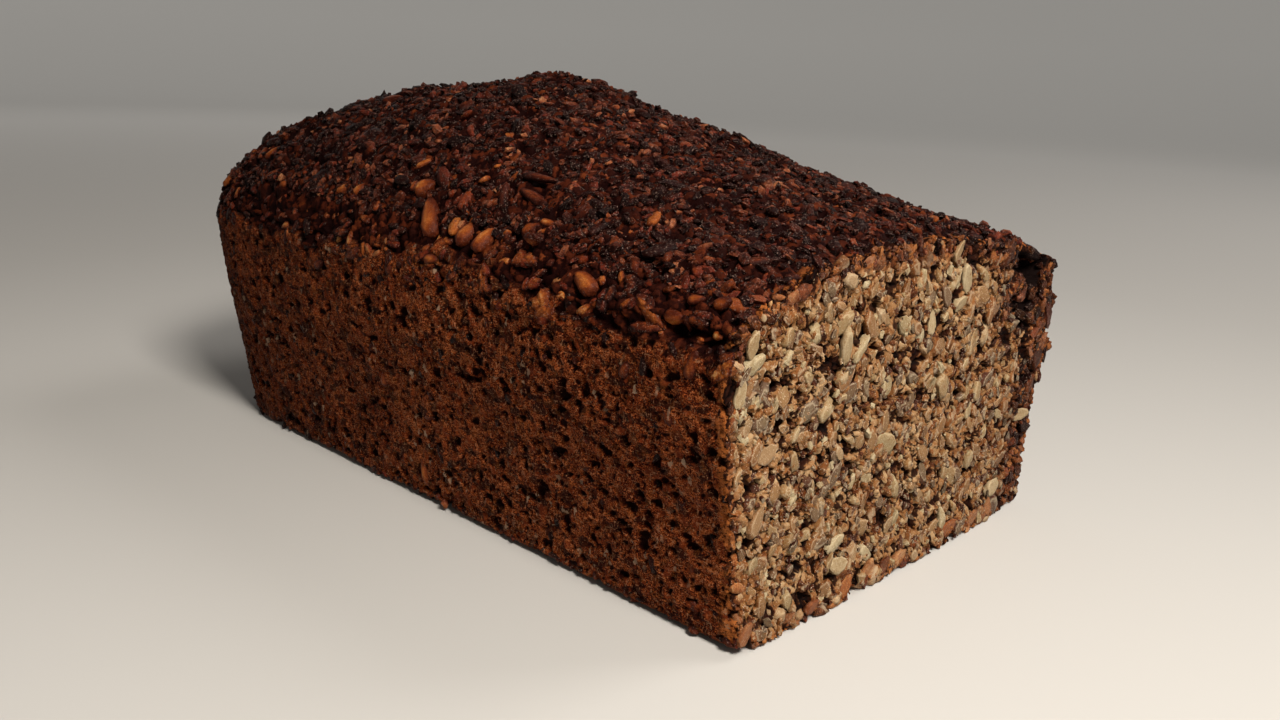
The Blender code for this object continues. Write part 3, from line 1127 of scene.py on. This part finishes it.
for name, shape, seed, spacing, reach, size, sink, dents in (
    ("top_meal", FLAKE, 11, 1.75, 0.3, (2.6, 1.8, 1.3, 0.25), (-0.2, 0.9), 0.28),
    ("top_bits", SEED, 12, 3.3, 0.8, (3.6, 2.5, 1.7, 0.25), (-0.1, 0.9), 0.28),
    ("top_seeds", SEED, 13, 7.5, 1.5, (4.4, 3, 2.2, 0.25), (-0.1, 0.7), 0.16),
):
    box, tint = top_places(seed, spacing, reach)
    rng, where, facets = default_rng(seed + 10), frames(box, 2), name != "top_seeds"
    sow(name, shape, rng, where, size, ANY_WAY, sink, dents, tint, facets=facets)

# %% Large kernels along the shoulders
near = top_places(14, 7.2, 2.6, top_low, (CUT_X - 2 * MM, -SIDE_Y + 20 * MM))
far = top_places(15, 8.5, 2.6, (END_X, SIDE_Y - 18 * MM), top_high)
box, tint = [np.concatenate(pair) for pair in zip(near, far)]
rng, where, size = default_rng(24), frames(box, 2), (7, 4.2, 2.8, 0.25)
sow("shoulder_kernels", KERNEL, rng, where, size, ANY_WAY, (0.1, 0.8), 0.13, tint + 0.05)

# %% Seeds pressed into the long walls
rng = default_rng(14)
for name, side in (("front_wall_seeds", -SIDE_Y), ("back_wall_seeds", SIDE_Y)):
    few = spread(rng, 1, side, (END_X, 2 * MM), (CUT_X, WALL_TOP), 8)
    many = spread(rng, 1, side, (END_X, WALL_TOP - 5 * MM), (CUT_X, BOX_TOP), 3.4)
    box = np.concatenate([few, many])
    box = box[clear_of(box, skin_spots, skin_room + 0.8 * MM)]
    raised = ease((box[:, 2] - WALL_TOP) / (5 * MM) + 1)
    where, size, turns = frames(box, 1), (3.9, 2.6, 1.5, 0.18), (0, np.pi, 0.12)
    sink = (0.6 - 0.5 * raised, 1.1 - 0.5 * raised)
    sow(name, SEED, rng, where, size, turns, sink, 0.17, (2.2, 2.2, 1), 0.1 * raised)

# %% Kernels, chips and meal in the cut
for name, shape, seed, margin, spacing, behind, size, sink, dents, tint in (
    ("cut_kernels", FINE_KERNEL, 15, 0.05, 4.7, 0.5, (5.2, 3.3, 3), (0.1, 0.8), 0.18, (3.4, 2.3, 1)),
    ("cut_chips", SEED, 19, 0.02, 2.8, 0.9, (3.2, 2.2, 2.2), (0.1, 0.9), 0.34, (1.4, 1.75, 1)),
    ("cut_meal", FLAKE, 16, 0.01, 1.9, 0.9, (2, 1.5, 1.5), (0, 0.9), 0.4, (1.3, 1.9, 1)),
):
    rng = default_rng(seed)
    # The margin is the share of the cut that is left free at its outline.
    low = (-(1 - margin) * SIDE_Y, margin / 2 * BOX_TOP)
    box = spread(rng, 0, CUT_X, low, (-low[0], BOX_TOP - low[1]), spacing)
    where, toast = cut_frames(rng, box, behind * MM, 0.3 * MM * size[0])
    # The cut's seeds are darker towards the back: painted shade.
    paler = 0.1 * toast - 0.22 * back_share(where[0])
    way = {"paler": paler, "toast": 0.85 * toast, "facets": name != "cut_kernels", "cut": True}
    sow(name, shape, rng, where, (*size, 0.28), (np.pi / 2, 1.2, 0.4), sink, dents, tint, **way)

# %% Crumbs inside the hollows, tinted dark as painted shade
rng = default_rng(31)
corner_low, corner_high = (0.6 * SIDE_Y, 0.5 * BOX_TOP), (0.97 * SIDE_Y, 0.97 * BOX_TOP)
place = finished(spread(rng, 0, CUT_X, corner_low, corner_high, 1.8))[0]
on_plane = place * (0, 1, 1) + (CUT_X, 0, 0)
where = on_knife(place[broken_out(on_plane)[1] > 0.3])
size, turns, sink, tint = (3, 2.2, 1.9, 0.3), (0, np.pi, 0.5), (0.1, 0.7), (1.2, 3.2, 0.9)
sow("hollow_crumbs", SEED, rng, where, size, turns, sink, 0.26, tint, 0, 0.85, facets=True)

# %% Nubs along the outline of the cut
rng = default_rng(18)
inside, top_inside = SIDE_Y - 1.6 * MM, 0.96 * SIDE_Y
strips = (
    ((-SIDE_Y, 0), (SIDE_Y, 5 * MM), 2.9),
    ((-inside, 0), (-inside + MM, BOX_TOP), 3.4),
    ((inside, 0), (SIDE_Y - 0.4 * MM, 0.92 * BOX_TOP), 3.4),
    ((-top_inside, BOX_TOP - 2 * MM), (top_inside, BOX_TOP - MM), 3.4),
)
box = np.concatenate([spread(rng, 0, CUT_X, *strip) for strip in strips])
where, _ = cut_frames(rng, box, 2 * MM, MM)
grown = 1 + 0.45 * (where[0][:, 2:] < 4 * MM)
size, turns, tint = (3.2, 2.4, 2.2, 0.25), (0, np.pi, 0.6), (2.5, 2, 0.5)
sow("rim_nubs", SEED, rng, where, size, turns, (0, 0.8), 0.17, tint, 0.46, (0.3, 0.9), grown, cut=True)

# %% Nubs around the base
for name, side in (("front_base_nubs", -SIDE_Y), ("back_base_nubs", SIDE_Y)):
    where = frames(spread(rng, 1, side, (END_X, 0), (CUT_X, 1.6 * MM), 2.6), 1)
    sow(name, SEED, rng, where, (3, 2.2, 1.7, 0.2), ANY_WAY, (0.2, 1), 0.2, (2, 2.2, 0.9))

# %% [markdown]
# ## Camera, floor and light
#
# The camera looks down a little on the corner between the long wall and the
# cut, from close by. The floor is a flat disc whose outer part turns up as a
# quarter circle, so that no horizon shows.


# %% The camera
def towards(azimuth, elevation):
    """The way to that azimuth, 0 before the front wall, and elevation, in degrees."""
    a, e = np.radians((azimuth, elevation))
    return Vector((np.sin(a) * np.cos(e), -np.cos(a) * np.cos(e), np.sin(e)))


CAMERA_TARGET = Vector((16.4, 6.4, 30.3)) * MM
CAMERA_DISTANCE = 343 * MM
camera_way = towards(43.3, 15.5)
camera_data = bpy.data.cameras.new("camera")
camera_data.sensor_width = 36
camera_data.lens = 31.4
camera_data.clip_start = 0.01
camera = add_object("camera", camera_data)
upright = camera_way.to_track_quat("Z", "Y").to_matrix().to_4x4()
roll = Matrix.Rotation(np.radians(2.6), 4, "Z")
seat = Matrix.Translation(CAMERA_TARGET + camera_way * CAMERA_DISTANCE)
camera.matrix_world = seat @ upright @ roll
bpy.context.scene.camera = camera

# %% The floor
FLAT_RADIUS = 2
turn = np.linspace(0, 2 * np.pi, 97)[:-1]
turn, radius = np.meshgrid(turn, np.append(0.01, np.linspace(FLAT_RADIUS, 4, 25)))
past = np.maximum(radius, FLAT_RADIUS) - FLAT_RADIUS
rise = 2 - np.sqrt(np.maximum(0, 4 - past**2)) - 0.0002
points = np.stack([radius * np.cos(turn), radius * np.sin(turn), rise], axis=-1)
index = np.arange(turn.size).reshape(turn.shape)
faces = [ring_faces(index), index[:1]]
sweep = mesh_from("floor", points.reshape(-1, 3), faces, [True, False], {})
floor_material = new_material("pale_floor")
# The sweep glows more towards its rim, where it turns up: painted light that evens out its shading.
gradient = add_node("TexGradient", {"gradient_type": "SPHERICAL"}, 1, Vector=place_of(4 / MM))
glow = ramp(
    gradient,
    (0.3, 0.18, 0.175, 0.165), (0.66, 0.125, 0.121, 0.114), (0.9, 0, 0, 0),
)
finish_material(floor_material, (0.52, 0.505, 0.48, 1), 0.8, glow=glow)
sweep.materials.append(floor_material)
floor = add_object("floor", sweep)
floor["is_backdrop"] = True

# %% World and lights
world = bpy.data.worlds.new("soft_studio")
bpy.context.scene.world = world
world.use_nodes = True
sky = world.node_tree.nodes["Background"].inputs
sky["Color"].default_value = (1, 0.96, 0.92, 1)
sky["Strength"].default_value = 0.105


def softbox(name, way, distance, size, power, colour):
    """A square area light that looks at the loaf's middle from that way."""
    data = bpy.data.lights.new(name, "AREA")
    data.size = size
    data.energy = power
    data.color = colour
    lamp = add_object(name, data)
    lamp.location = Vector(MIDDLE) + way * distance
    lamp.rotation_euler = way.to_track_quat("Z", "Y").to_euler()


softbox("key", towards(68, 42), 0.63, 0.16, 5.2, (1, 0.94, 0.86))
softbox("back_light", towards(150, 45), 1.4, 0.6, 7, (1, 0.95, 0.9))
softbox("fill", towards(250, 30), 1.5, 1.2, 0.8, (1, 0.97, 0.94))
bpy.context.scene.view_settings.view_transform = "Standard"

# %% Sizes and the end
low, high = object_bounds()
print("looks", low, high)
